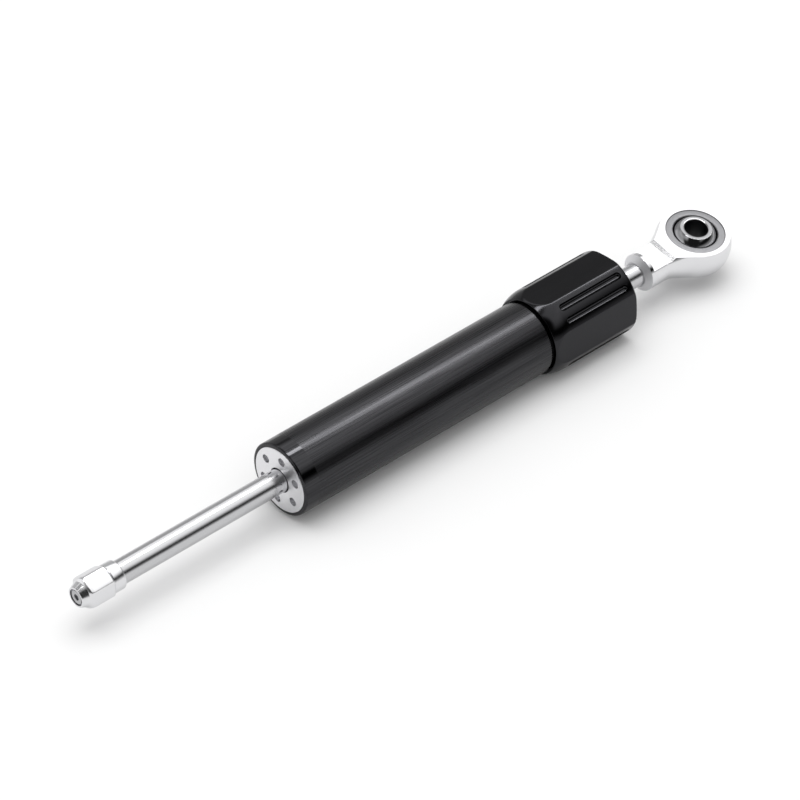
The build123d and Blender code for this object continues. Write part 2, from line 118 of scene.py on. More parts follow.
def smoothLeast(a, b, blend):
    # the lesser of two, rounded over where they meet
    near = np.maximum(blend - np.abs(a - b), 0) / blend
    return np.minimum(a, b) - near * near * blend / 4


def smoothMost(a, b, blend):
    return -smoothLeast(-a, -b, blend)


def roundedOutline(corners, cornerSteps=5):
    # corners are (station, radius, rounding); a rounding becomes an arc that touches both sides
    outline = []
    for i, (x, r, rounding) in enumerate(corners):
        here = Vector((x, r))
        if not rounding:
            outline.append(here)
            continue
        back = (Vector(corners[i - 1][:2]) - here).normalized()
        on = (Vector(corners[(i + 1) % len(corners)][:2]) - here).normalized()
        half = back.angle(on) / 2
        centre = here + (back + on).normalized() * rounding / math.sin(half)
        start = here + back * rounding / math.tan(half) - centre
        sweep = start.angle_signed(here + on * rounding / math.tan(half) - centre)
        for step in range(cornerSteps + 1):
            spoke = start.copy()
            spoke.rotate(Matrix.Rotation(-sweep * step / cornerSteps, 2))
            outline.append(centre + spoke)
    return outline


def cleanMesh(mesh, crispFrom=sharpAngle):
    work = bmesh.new()
    work.from_mesh(mesh)
    bmesh.ops.remove_doubles(work, verts=work.verts, dist=mergeDistance)
    bmesh.ops.dissolve_degenerate(work, edges=work.edges, dist=mergeDistance)
    bmesh.ops.recalc_face_normals(work, faces=work.faces)
    work.to_mesh(mesh)
    work.free()
    mesh.shade_smooth()
    mesh.set_sharp_from_angle(angle=math.radians(crispFrom))


def makePiece(name, points, faces, placed=None, crispFrom=sharpAngle):
    mesh = bpy.data.meshes.new(name)
    mesh.from_pydata((points * mm).tolist(), [], faces)
    if placed:
        mesh.transform(placed)
    cleanMesh(mesh, crispFrom)
    piece = bpy.data.objects.new(name, mesh)
    bpy.context.scene.collection.objects.link(piece)
    return piece


def turnPiece(name, corners, sides=192, shape=None, placed=None):
    # turns a closed outline about the rod; shape draws points in, as flats do
    outline = roundedOutline(corners)
    x = np.array([p.x for p in outline])[None, :]
    r = np.array([p.y for p in outline])[None, :]
    angle = np.arange(sides)[:, None] * 2 * math.pi / sides
    reach = shape(r, angle) if shape else r + 0 * angle
    points = np.stack([x + 0 * angle, reach * np.cos(angle), reach * np.sin(angle)], -1)
    count = len(outline)
    faces = []
    for i in range(sides):
        for j in range(count):
            k = (j + 1) % count
            n = (i + 1) % sides
            faces.append((i * count + j, i * count + k, n * count + k, n * count + j))
    return makePiece(name, points.reshape(-1, 3), faces, placed)


def evenFlats(distance, count, turn, blend):
    # shape for turnPiece: so many flats at one distance, their edges rounded over by blend
    step = 2 * math.pi / count

    def shape(r, angle):
        off = (angle - math.radians(turn) + step / 2) % step - step / 2
        return smoothLeast(r + 0 * angle, distance / np.cos(off) + 0 * r, blend)
    return shape


def pocketCorners(node, mouth):
    # the recess in a bore that holds a ring, from its rear to its front
    front = frontOf(node) - ringGap
    rear = rearOf(node) + ringGap
    reach = reachOf(node) + ringGap
    return [(rear, mouth, ringRound), (rear, reach, 0), (front, reach, 0), (front, mouth, ringRound)]


def dressPiece(piece, body, node, material):
    piece.data.materials.clear()
    piece.data.materials.append(material)
    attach(piece, body)
    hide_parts(node)


# Geometry Nodes: each tree takes a mesh and named values, and gives back one dressed mesh

def startTree(name, inputs):
    tree = bpy.data.node_groups.new(name, "GeometryNodeTree")
    tree.interface.new_socket("Geometry", in_out="INPUT", socket_type="NodeSocketGeometry")
    for socket, kind in inputs.items():
        tree.interface.new_socket(socket, in_out="INPUT", socket_type="NodeSocket" + kind)
    tree.interface.new_socket("Geometry", in_out="OUTPUT", socket_type="NodeSocketGeometry")
    return tree, addNode(tree, "NodeGroupInput")


def finishTree(tree, given, geometry):
    whole = addNode(tree, "GeometryNodeRealizeInstances", links={"Geometry": geometry})
    dressed = addNode(tree, "GeometryNodeSetMaterial",
                      links={"Geometry": (whole, "Geometry"), "Material": (given, "Finish")})
    addNode(tree, "NodeGroupOutput", links={"Geometry": (dressed, "Geometry")})


# Cuts a ring of like holes or slots, spread evenly or in pairs

def ringCutTree():
    cutterSides = 48
    cutterRings = 25  # odd, so that no point lies on the ball's waist
    tree, given = startTree("ringCut", {
        "Count": "Int", "Station": "Float", "Pitch Radius": "Float", "Turn": "Float",
        "Pair Turn": "Float", "Cutter Radius": "Float", "Cutter Length": "Float",
        "Round Ends": "Bool", "Finish": "Material",
    })

    # one seat for each cut: evenly spread, then turned on and back by turns to stand in pairs
    index = addNode(tree, "GeometryNodeInputIndex")
    odd = addNode(tree, "ShaderNodeMath", {1: 2}, {0: (index, "Index")}, operation="MODULO")
    way = addNode(tree, "ShaderNodeMath", {1: -2, 2: 1}, {0: (odd, "Value")},
                  operation="MULTIPLY_ADD")
    spacing = addNode(tree, "ShaderNodeMath", {0: math.tau}, {1: (given, "Count")},
                      operation="DIVIDE")
    around = addNode(tree, "ShaderNodeMath", links={0: (index, "Index"), 1: (spacing, "Value")},
                     operation="MULTIPLY")
    turned = addNode(tree, "ShaderNodeMath", links={0: (around, "Value"), 1: (given, "Turn")},
                     operation="ADD")
    aside = addNode(tree, "ShaderNodeMath", links={0: (way, "Value"), 1: (given, "Pair Turn")},
                    operation="MULTIPLY")
    angle = addNode(tree, "ShaderNodeMath", links={0: (turned, "Value"), 1: (aside, "Value")},
                    operation="ADD")
    seat = addNode(tree, "ShaderNodeCombineXYZ", links={"X": (given, "Station")})
    for axis, part in (("Y", "COSINE"), ("Z", "SINE")):
        share = addNode(tree, "ShaderNodeMath", links={0: (angle, "Value")}, operation=part)
        reach = addNode(tree, "ShaderNodeMath",
                        links={0: (share, "Value"), 1: (given, "Pitch Radius")},
                        operation="MULTIPLY")
        tree.links.new(reach.outputs["Value"], seat.inputs[axis])
    seats = addNode(tree, "GeometryNodePoints",
                    links={"Count": (given, "Count"), "Position": (seat, "Vector")})

    # the cutter: a plain rod, or a ball drawn apart into a rod with round ends
    rod = addNode(tree, "GeometryNodeMeshCylinder", {"Vertices": cutterSides},
                  {"Radius": (given, "Cutter Radius"), "Depth": (given, "Cutter Length")})
    ball = addNode(tree, "GeometryNodeMeshUVSphere",
                   {"Segments": cutterSides, "Rings": cutterRings},
                   {"Radius": (given, "Cutter Radius")})
    place = addNode(tree, "GeometryNodeInputPosition")
    height = addNode(tree, "ShaderNodeSeparateXYZ", links={"Vector": (place, "Position")})
    end = addNode(tree, "ShaderNodeMath", links={0: (height, "Z")}, operation="SIGN")
    half = addNode(tree, "ShaderNodeMath", {1: 2}, {0: (given, "Cutter Length")},
                   operation="DIVIDE")
    run = addNode(tree, "ShaderNodeMath", links={0: (half, "Value"), 1: (given, "Cutter Radius")},
                  operation="SUBTRACT")
    shift = addNode(tree, "ShaderNodeMath", links={0: (end, "Value"), 1: (run, "Value")},
                    operation="MULTIPLY")
    stretch = addNode(tree, "ShaderNodeCombineXYZ", links={"Z": (shift, "Value")})
    capsule = addNode(tree, "GeometryNodeSetPosition",
                      links={"Geometry": (ball, "Mesh"), "Offset": (stretch, "Vector")})
    cutter = addNode(tree, "GeometryNodeSwitch", input_type="GEOMETRY", links={
        "Switch": (given, "Round Ends"), "False": (rod, "Mesh"), "True": (capsule, "Geometry"),
    })
    laid = addNode(tree, "GeometryNodeTransform", {"Rotation": (0, math.pi / 2, 0)},
                   {"Geometry": (cutter, "Output")})
    ring = addNode(tree, "GeometryNodeInstanceOnPoints",
                   links={"Points": (seats, "Points"), "Instance": (laid, "Geometry")})
    real = addNode(tree, "GeometryNodeRealizeInstances", links={"Geometry": (ring, "Instances")})
    cut = addNode(tree, "GeometryNodeMeshBoolean", operation="DIFFERENCE", solver="EXACT",
                  links={"Mesh 1": (given, "Geometry"), "Mesh 2": (real, "Geometry")})
    finishTree(tree, given, (cut, "Mesh"))
    return tree


# Winds a wire into a coil spring that stands along z

def coilTree():
    stepsPerTurn = 40
    wireSides = 20
    tree, given = startTree("coilSpring", {
        "Turns": "Float", "Coil Radius": "Float", "Coil Length": "Float", "Wire Radius": "Float",
        "Finish": "Material",
    })
    coil = addNode(tree, "GeometryNodeCurveSpiral", {"Resolution": stepsPerTurn}, {
        "Rotations": (given, "Turns"), "Start Radius": (given, "Coil Radius"),
        "End Radius": (given, "Coil Radius"), "Height": (given, "Coil Length"),
    })
    section = addNode(tree, "GeometryNodeCurvePrimitiveCircle", {"Resolution": wireSides},
                      {"Radius": (given, "Wire Radius")})
    wire = addNode(tree, "GeometryNodeCurveToMesh", {"Fill Caps": True},
                   {"Curve": (coil, "Curve"), "Profile Curve": (section, "Curve")})
    finishTree(tree, given, (wire, "Mesh"))
    return tree


def applyTree(piece, tree, values):
    modifier = piece.modifiers.new(tree.name, "NODES")
    modifier.node_group = tree
    for item in tree.interface.items_tree:
        if item.in_out == "INPUT" and item.name in values:
            modifier[item.identifier] = values[item.name]
    bpy.context.view_layer.update()
    shaped = piece.evaluated_get(bpy.context.evaluated_depsgraph_get())
    mesh = bpy.data.meshes.new_from_object(shaped)
    piece.modifiers.clear()
    piece.data = mesh
    cleanMesh(mesh)


ringCut = ringCutTree()
coilSpring = coilTree()


# Materials

def addStreaks(tree, coords, width, run):
    # noise drawn out along the rod: streaks width mm across, and run times as long
    across = 1 / (width * mm)
    stretch = addNode(tree, "ShaderNodeMapping", {"Scale": (across / run, across, across)},
                      {"Vector": (coords, "Object")})
    return addNode(tree, "ShaderNodeTexNoise", {"Scale": 0.5, "Detail": 3.0, "Roughness": 0.6},
                   {"Vector": (stretch, "Vector")})


def drawnBlackAnodised():
    # anodised aluminium tube, drawn and dyed black: satin black with fine streaks along the draw,
    # and a smoother turned band at its front end that gives a sharp highlight
    bandLength = 7.4  # mm
    bandBlend = 0.2  # mm
    bandGloss = 0.11
    material, tree, shader = startMaterial("drawnBlackAnodisedAluminium", "#3b3b3d",
                                           metallic=1.0, roughness=0.24)
    coords = addNode(tree, "ShaderNodeTexCoord")
    parts = addNode(tree, "ShaderNodeSeparateXYZ", links={"Vector": (coords, "Object")})
    bandEnd = (frontOf("outer_tube") + bandLength) * mm
    drawn = addNode(tree, "ShaderNodeMapRange",
                    {"From Min": bandEnd - bandBlend * mm, "From Max": bandEnd + bandBlend * mm},
                    {"Value": (parts, "X")})
    streaks = addStreaks(tree, coords, width=0.3, run=60)
    gloss = addNode(tree, "ShaderNodeMapRange", {"To Min": 0.2, "To Max": 0.36},
                    {"Value": (streaks, "Fac")})
    mixed = addNode(tree, "ShaderNodeMix", {"A": bandGloss},
                    {"Factor": (drawn, "Result"), "B": (gloss, "Result")})
    tone = addNode(tree, "ShaderNodeValToRGB", links={"Fac": (streaks, "Fac")})
    tone.color_ramp.elements[0].position = 0.3
    tone.color_ramp.elements[0].color = linearColour("#333335")
    tone.color_ramp.elements[1].position = 0.75
    tone.color_ramp.elements[1].color = linearColour("#4a4a4c")
    relief = addNode(tree, "ShaderNodeBump", {"Strength": 0.3, "Distance": 0.004 * mm},
                     {"Height": (streaks, "Fac")})
    tree.links.new(tone.outputs["Color"], shader.inputs["Base Color"])
    tree.links.new(mixed.outputs["Result"], shader.inputs["Roughness"])
    tree.links.new(relief.outputs["Normal"], shader.inputs["Normal"])
    return material


def milledDarkAnodised():
    # anodised aluminium, milled and blasted before the dye: dark satin grey with a fine even grain
    material, tree, shader = startMaterial("milledDarkAnodisedAluminium", "#373739",
                                           metallic=1.0, roughness=0.2)
    grainSize = 0.25  # mm, coarser than the real blasting so that it shows
    coords = addNode(tree, "ShaderNodeTexCoord")
    grain = addNode(tree, "ShaderNodeTexNoise", {"Scale": 1 / (grainSize * mm), "Detail": 2.0},
                    {"Vector": (coords, "Object")})
    cloud = addStreaks(tree, coords, width=2.0, run=8)
    gloss = addNode(tree, "ShaderNodeMapRange", {"To Min": 0.1, "To Max": 0.2},
                    {"Value": (cloud, "Fac")})
    relief = addNode(tree, "ShaderNodeBump", {"Strength": 0.1, "Distance": 0.01 * mm},
                     {"Height": (grain, "Fac")})
    tree.links.new(gloss.outputs["Result"], shader.inputs["Roughness"])
    tree.links.new(relief.outputs["Normal"], shader.inputs["Normal"])
    return material


def turnedMetal(name, colour, roughness, feed, strength):
    # lathe-turned metal: fine lines round the rod on every turned wall and face; feed in mm, far
    # coarser than the real one so that it shows
    glossSpread = (0.75, 1.3)  # shares of the roughness between which the lines vary
    material, tree, shader = startMaterial(name, colour, 1.0, roughness)
    coords = addNode(tree, "ShaderNodeTexCoord")
    parts = addNode(tree, "ShaderNodeSeparateXYZ", links={"Vector": (coords, "Object")})
    flat = addNode(tree, "ShaderNodeCombineXYZ", links={"Y": (parts, "Y"), "Z": (parts, "Z")})
    radius = addNode(tree, "ShaderNodeVectorMath", links={0: (flat, "Vector")}, operation="LENGTH")
    station = addNode(tree, "ShaderNodeMath", links={0: (parts, "X"), 1: (radius, "Value")},
                      operation="ADD")
    lines = addNode(tree, "ShaderNodeTexNoise", {"Scale": 1 / (feed * mm), "Detail": 2.0},
                    {"W": (station, "Value")}, noise_dimensions="1D")
    gloss = addNode(tree, "ShaderNodeMapRange",
                    {"To Min": roughness * glossSpread[0], "To Max": roughness * glossSpread[1]},
                    {"Value": (lines, "Fac")})
    relief = addNode(tree, "ShaderNodeBump", {"Strength": strength, "Distance": 0.004 * mm},
                     {"Height": (lines, "Fac")})
    tree.links.new(gloss.outputs["Result"], shader.inputs["Roughness"])
    tree.links.new(relief.outputs["Normal"], shader.inputs["Normal"])
    return material


def grainedMetal(name, colour, low, high, size):
    # metal with an uneven polish: the gloss drifts in soft patches, size mm across
    material, tree, shader = startMaterial(name, colour, 1.0, (low + high) / 2)
    coords = addNode(tree, "ShaderNodeTexCoord")
    cloud = addNode(tree, "ShaderNodeTexNoise", {"Scale": 1 / (size * mm), "Detail": 4.0},
                    {"Vector": (coords, "Object")})
    gloss = addNode(tree, "ShaderNodeMapRange", {"To Min": low, "To Max": high},
                    {"Value": (cloud, "Fac")})
    relief = addNode(tree, "ShaderNodeBump", {"Strength": 0.05, "Distance": 0.02 * mm},
                     {"Height": (cloud, "Fac")})
    tree.links.new(gloss.outputs["Result"], shader.inputs["Roughness"])
    tree.links.new(relief.outputs["Normal"], shader.inputs["Normal"])
    return material


def mouldedSoft(name, colour, roughness, size):
    # moulded rubber or plastic: dull, with a faint grain, size mm across
    glossDrift = 0.1
    material, tree, shader = startMaterial(name, colour, 0.0, roughness)
    coords = addNode(tree, "ShaderNodeTexCoord")
    grain = addNode(tree, "ShaderNodeTexNoise", {"Scale": 1 / (size * mm)},
                    {"Vector": (coords, "Object")})
    gloss = addNode(tree, "ShaderNodeMapRange",
                    {"To Min": roughness - glossDrift, "To Max": roughness + glossDrift},
                    {"Value": (grain, "Fac")})
    tree.links.new(gloss.outputs["Result"], shader.inputs["Roughness"])
    return material


finishes = {
    "black_anodised": drawnBlackAnodised(),
    "dark_anodised": milledDarkAnodised(),
    # turned and polished, with a bright sharp highlight
    "machined_alloy": turnedMetal("turnedAluminium", "#ececee", roughness=0.2, feed=0.3, strength=0.25),
    # faced and left satin, so that it stays evenly pale
    "facedAlloy": turnedMetal("facedAluminium", "#f2f2f4", roughness=0.36, feed=0.3, strength=0.25),
    # ground before plating: long clean lines of light and dark
    "chromed_rod": turnedMetal("groundHardChrome", "#cfcfd1", roughness=0.2, feed=0.25, strength=0.06),
    # forged, polished and bright plated: nearly a mirror, so it takes on the white of the room
    "plated_steel": grainedMetal("brightPlatedForgedSteel", "#ececee", low=0.07, high=0.14, size=6.0),
    # turned after forging: pale and matt
    "turnedSteel": turnedMetal("mattTurnedSteel", "#f0f0f2", roughness=0.6, feed=0.3, strength=0.2),
    # phosphated: an even dull grey
    "race_steel": grainedMetal("phosphatedSteel", "#868688", low=0.4, high=0.52, size=1.0),
    # painted shade: a dark steel for the faces inside the bores and round the ball, where shade falls
    "paintedShadeBore": grainedMetal("paintedShadeSteel", "#505052", low=0.3, high=0.45, size=1.0),
    # ground and polished for running: mirrors the studio sharply
    "ball_chrome": grainedMetal("polishedBearingSteel", "#a8a8aa", low=0.06, high=0.12, size=4.0),
    # hidden pieces: oiled wire, turned clips and washers, bronze bushes, seals and the slide band
    "spring_steel": grainedMetal("oiledSpringSteel", "#8a8a8c", low=0.25, high=0.4, size=2.0),
    "stainless": turnedMetal("turnedStainlessSteel", "#bcbcbe", roughness=0.25, feed=0.3, strength=0.3),
    "bronze": turnedMetal("bearingBronze", "#b08a52", roughness=0.35, feed=0.3, strength=0.3),
    "rubber_black": mouldedSoft("nitrileRubber", "#1c1c1c", roughness=0.6, size=0.4),
    "band_plastic": mouldedSoft("filledSlideBand", "#5a4a34", roughness=0.5, size=0.4),
}
slotOf = {part["node"]: part["material_slot"] for part in frame["record"]["subparts"]}
for nodeName, nodeObject in cadNodes.items():
    nodeObject.data.materials.clear()
    nodeObject.data.materials.append(finishes[slotOf[nodeName]])
print("materials: made", len(finishes))


# Outer tube: plain drawn tube with a rounded rim at each end

tubeSizes = {"frontRound": 0.8, "rearRound": 0.4, "boreRound": 0.1, "boreGap": 0.02}


def buildTube(sizes):
    front, rear, reach = frontOf("outer_tube"), rearOf("outer_tube"), reachOf("outer_tube")
    inner = reachOf("front_gland") + sizes["boreGap"]
    corners = [
        (front, inner, sizes["boreRound"]),
        (front, reach, sizes["frontRound"]),
        (rear, reach, sizes["rearRound"]),
        (rear, inner, sizes["boreRound"]),
    ]
    piece = turnPiece("tubeShell", corners)
    dressPiece(piece, "body", "outer_tube", finishes["black_anodised"])


buildTube(tubeSizes)
print("tube: built")


# Front gland: turned disc with rings of its own in the bore, six pin holes in its face

glandSizes = {
    "mouthGap": 0.4, "mouthRound": 0.2, "edgeRound": 0.25, "grooveSide": 0.15, "grooveDepth": 1.8,
    "grooveRound": 0.1,
    "pinHoles": 6, "pinHoleRadius": 1.85, "pinHoleDepth": 3.0, "pinHolePitch": 10.0,
    "pinHoleTurn": 42.0,
}


def buildGland(sizes):
    front, rear, reach = frontOf("front_gland"), rearOf("front_gland"), reachOf("front_gland")
    mouth = reachOf("piston_rod") + sizes["mouthGap"]
    grooveFront = frontOf("front_o_ring") - sizes["grooveSide"]
    grooveRear = rearOf("front_o_ring") + sizes["grooveSide"]
    floor = reachOf("front_o_ring") - sizes["grooveDepth"]
    sealSeat = pocketCorners("front_rod_seal", mouth)
    corners = [
        (front, mouth, sizes["mouthRound"]),
        (front, reach, sizes["edgeRound"]),
        (grooveFront, reach, sizes["grooveRound"]),
        (grooveFront, floor, 0),
        (grooveRear, floor, 0),
        (grooveRear, reach, sizes["grooveRound"]),
        (rear, reach, sizes["edgeRound"]),
        (rear, sealSeat[2][1], ringRound),
    ] + sealSeat[2:] + pocketCorners("front_bush", mouth) + pocketCorners("front_wiper", mouth)
    piece = turnPiece("glandDisc", corners)
    applyTree(piece, ringCut, {
        "Count": sizes["pinHoles"],
        "Station": front * mm,
        "Pitch Radius": sizes["pinHolePitch"] * mm,
        "Turn": math.radians(sizes["pinHoleTurn"]),
        "Pair Turn": 0.0,
        "Cutter Radius": sizes["pinHoleRadius"] * mm,
        "Cutter Length": 2 * sizes["pinHoleDepth"] * mm,
        "Round Ends": False,
        "Finish": finishes["facedAlloy"],
    })
    dressPiece(piece, "body", "front_gland", finishes["facedAlloy"])


buildGland(glandSizes)
print("gland: built")


# Rear cap: rounded nose, four flats, and a pair of ball-ended slots along each lobe

capSizes = {
    "lobeRadius": 18.7, "bodyLength": 46.0, "rearRound": 1.4, "sides": 720,
    "flats": 4, "flatTurn": 0.0, "flatEdge": 0.12,
    "noseLength": 7.5, "noseDrop": 1.8, "noseSteps": 14, "noseRound": 0.3,
    "shoulderRadius": 15.13, "shoulderGap": 0.02, "shoulderRound": 0.1,
    "spigotWall": 1.6, "spigotRound": 0.3, "chamberEnd": 1.0, "chamberRound": 0.2,
    "mouthGap": 0.4, "mouthRound": 0.3,
    "slots": 8, "slotStart": 8.3, "slotEndMargin": 3.1, "slotRadius": 1.65, "slotDepth": 1.5,
    "slotSideTurn": 9.5,
}


def buildCap(sizes):
    spigotFront, rear = frontOf("rear_cap"), rearOf("rear_cap")
    front = rear - sizes["bodyLength"]
    radius = sizes["lobeRadius"]
    mouth = reachOf("piston_rod") + sizes["mouthGap"]
    spigotReach = reachOf("front_gland")
    chamber = spigotReach - sizes["spigotWall"]
    shoulder = rearOf("outer_tube") + sizes["shoulderGap"]
    noseRear = front + sizes["noseLength"]
    noseArc = (sizes["noseLength"] ** 2 + sizes["noseDrop"] ** 2) / 2 / sizes["noseDrop"]
    nose = []
    for step in range(1, sizes["noseSteps"] + 1):
        x = front + sizes["noseLength"] * step / sizes["noseSteps"]
        nose.append((x, radius - noseArc + math.sqrt(noseArc ** 2 - (noseRear - x) ** 2), 0))
    sealSeat = pocketCorners("rear_rod_seal", mouth)
    chamberRear = frontOf("rear_seal_clip") - sizes["chamberEnd"]
    corners = [
        (spigotFront, chamber, sizes["chamberRound"]),
        (spigotFront, spigotReach, sizes["spigotRound"]),
        (shoulder, spigotReach, 0),
        (shoulder, sizes["shoulderRadius"], sizes["shoulderRound"]),
        (front, sizes["shoulderRadius"], 0),
        (front, radius - sizes["noseDrop"], sizes["noseRound"]),
    ] + nose + [
        (rear, radius, sizes["rearRound"]),
        (rear, mouth, sizes["mouthRound"]),
    ] + pocketCorners("rear_wiper", mouth) + pocketCorners("rear_bush", mouth) + sealSeat[:2] + [
        (chamberRear, sealSeat[1][1], ringRound),
        (chamberRear, chamber, sizes["chamberRound"]),
    ]
    shape = evenFlats(reachOf("rear_cap"), sizes["flats"], sizes["flatTurn"], sizes["flatEdge"])
    piece = turnPiece("endCap", corners, sizes["sides"], shape)
    slotFront = front + sizes["slotStart"]
    slotRear = rear - sizes["slotEndMargin"]
    spacing = 180 / sizes["slots"]
    applyTree(piece, ringCut, {
        "Count": sizes["slots"],
        "Station": (slotFront + slotRear) / 2 * mm,
        "Pitch Radius": (radius - sizes["slotDepth"] + sizes["slotRadius"]) * mm,
        "Turn": math.radians(spacing),
        "Pair Turn": math.radians(spacing - sizes["slotSideTurn"]),
        "Cutter Radius": sizes["slotRadius"] * mm,
        "Cutter Length": (slotRear - slotFront) * mm,
        "Round Ends": True,
        "Finish": finishes["dark_anodised"],
    })
    dressPiece(piece, "body", "rear_cap", finishes["dark_anodised"])


buildCap(capSizes)
print("cap: built")


# Adjuster: six-sided knob with a nose turned down in front, and the plain collar behind it

knobSizes = {
    "flats": 6, "flatDistance": 6.5, "flatTurn": 1.2, "flatEdge": 1.2, "radius": 7.3, "sides": 360,
    "rearRound": 0.6, "body": 9.4, "shoulderRound": 0.3, "frontEdge": 1.1, "frontDrop": 0.45,
    "coneRound": 0.2, "step": 0.8, "stepRadius": 5.5, "stepRound": 0.5,
    "noseRadius": 4.25, "noseRound": 0.2, "recessRadius": 3.6, "recessDepth": 1.9, "recessRound": 0.12,
    "stubRadius": 4.0, "stubGap": 0.05, "stubRound": 0.15,
    "spindleRadius": 2.2, "spindleGap": 0.02, "spindleRound": 0.1, "wallGap": 0.3,
}
collarSizes = {"edgeRound": 0.6, "boreRadius": 4.02, "boreRound": 0.1, "sides": 128}


def buildKnob(sizes):
    front, rear = frontOf("adjuster_knob"), rearOf("adjuster_knob")
    shoulder = rear - sizes["body"]
    cone = shoulder - sizes["frontEdge"]
    neck = cone - sizes["step"]
    floor = front + sizes["recessDepth"]
    stubEnd = frontOf("piston_rod") - sizes["wallGap"]
    spindleHole = sizes["spindleRadius"] + sizes["spindleGap"]
    stubHole = sizes["stubRadius"] + sizes["stubGap"]
    corners = [
        (front, sizes["recessRadius"], sizes["recessRound"]),
        (front, sizes["noseRadius"], sizes["noseRound"]),
        (neck, sizes["stepRadius"], sizes["stepRound"]),
        (cone, sizes["radius"] - sizes["frontDrop"], sizes["coneRound"]),
        (shoulder, sizes["radius"], sizes["shoulderRound"]),
        (rear, sizes["radius"], sizes["rearRound"]),
        (rear, stubHole, sizes["stubRound"]),
        (stubEnd, stubHole, 0),
        (stubEnd, spindleHole, 0),
        (floor, spindleHole, sizes["spindleRound"]),
        (floor, sizes["recessRadius"], 0),
    ]
    shape = evenFlats(sizes["flatDistance"], sizes["flats"], sizes["flatTurn"], sizes["flatEdge"])
    piece = turnPiece("adjusterGrip", corners, sizes["sides"], shape)
    dressPiece(piece, "knob", "adjuster_knob", finishes["machined_alloy"])


def buildCollar(sizes):
    front, rear, reach = frontOf("detent_collar"), rearOf("detent_collar"), reachOf("detent_collar")
    corners = [
        (front, sizes["boreRadius"], sizes["boreRound"]),
        (front, reach, sizes["edgeRound"]),
        (rear, reach, sizes["edgeRound"]),
        (rear, sizes["boreRadius"], sizes["boreRound"]),
    ]
    piece = turnPiece("stopCollar", corners, sizes["sides"])
    dressPiece(piece, "rod", "detent_collar", finishes["machined_alloy"])


buildKnob(knobSizes)
buildCollar(collarSizes)
print("adjuster: built")


# Spherical rod end: shank, wrench flats and flared neck run into the round eye. The forging is the
# zero level of one field, so that the neck flows into the eye while the flats keep crisp edges.

rodEndSizes = {
    "eyeTurn": 14.3, "eyeReach": 34.2, "shankRadius": 8.3, "frontRadius": 5.6, "frontEdge": 1.9,
    "flatHalf": 5.2, "flatStart": 3.6, "faceReach": 18.3, "faceSlope": 1.8,
    "flareHalf": 6.5, "flareSlope": 0.6, "flareEnd": 26.47, "flareBlend": 1.2, "neckBlend": 1.0,
    "headHalf": 6.1, "headRadius": 16.28, "headFaceRadius": 15.0,
    "seatRadius": 12.85, "boreRadius": 5.02, "boreDepth": 13.52,
}
netSizes = {
    "step": 0.3, "marginSteps": 3.3, "nudge": 0.002, "halvings": 14, "hold": 0.02, "crispFrom": 18,
}


def rodEndField(sizes):
    # negative inside; x from the shank's front, z along the eye's axis
    rimDrop = sizes["headRadius"] - sizes["headFaceRadius"]
    rimArc = (sizes["headHalf"] ** 2 + rimDrop ** 2) / 2 / rimDrop
    frontSlope = (sizes["shankRadius"] - sizes["frontRadius"]) / sizes["frontEdge"]
    slopeEnd = sizes["eyeReach"] - sizes["faceReach"]
    slopeRise = (sizes["headHalf"] - sizes["flatHalf"]) / sizes["faceSlope"]

    def field(points):
        x, y, z = np.moveaxis(points, -1, 0)
        rodRadius = np.hypot(y, z)
        flareEdge = sizes["flareHalf"] + sizes["flareSlope"] * (x - slopeEnd)
        flare = np.hypot(np.maximum(flareEdge, 0), sizes["headHalf"])
        flare = smoothMost(flare, sizes["shankRadius"] + 0 * x, sizes["flareBlend"])
        neck = np.maximum(rodRadius - flare, rodRadius - sizes["frontRadius"] - frontSlope * x)
        neck = np.maximum(neck, x - sizes["flareEnd"])
        eyeRadius = np.hypot(x - sizes["eyeReach"], y)
        barrel = np.hypot(eyeRadius - sizes["headRadius"] + rimArc, z) - rimArc
        whole = smoothLeast(neck, barrel, sizes["neckBlend"])
        rise = np.clip(x - slopeEnd + sizes["faceSlope"], 0, sizes["faceSlope"]) * slopeRise
        waist = np.abs(z) - sizes["flatHalf"] - rise
        whole = np.maximum(whole, np.minimum(waist, x - sizes["flatStart"]))
        whole = np.maximum(whole, sizes["seatRadius"] - eyeRadius)
        whole = np.maximum(whole, -x)
        bore = np.maximum(rodRadius - sizes["boreRadius"], x - sizes["boreDepth"])
        return np.maximum(whole, -bore)
    return field


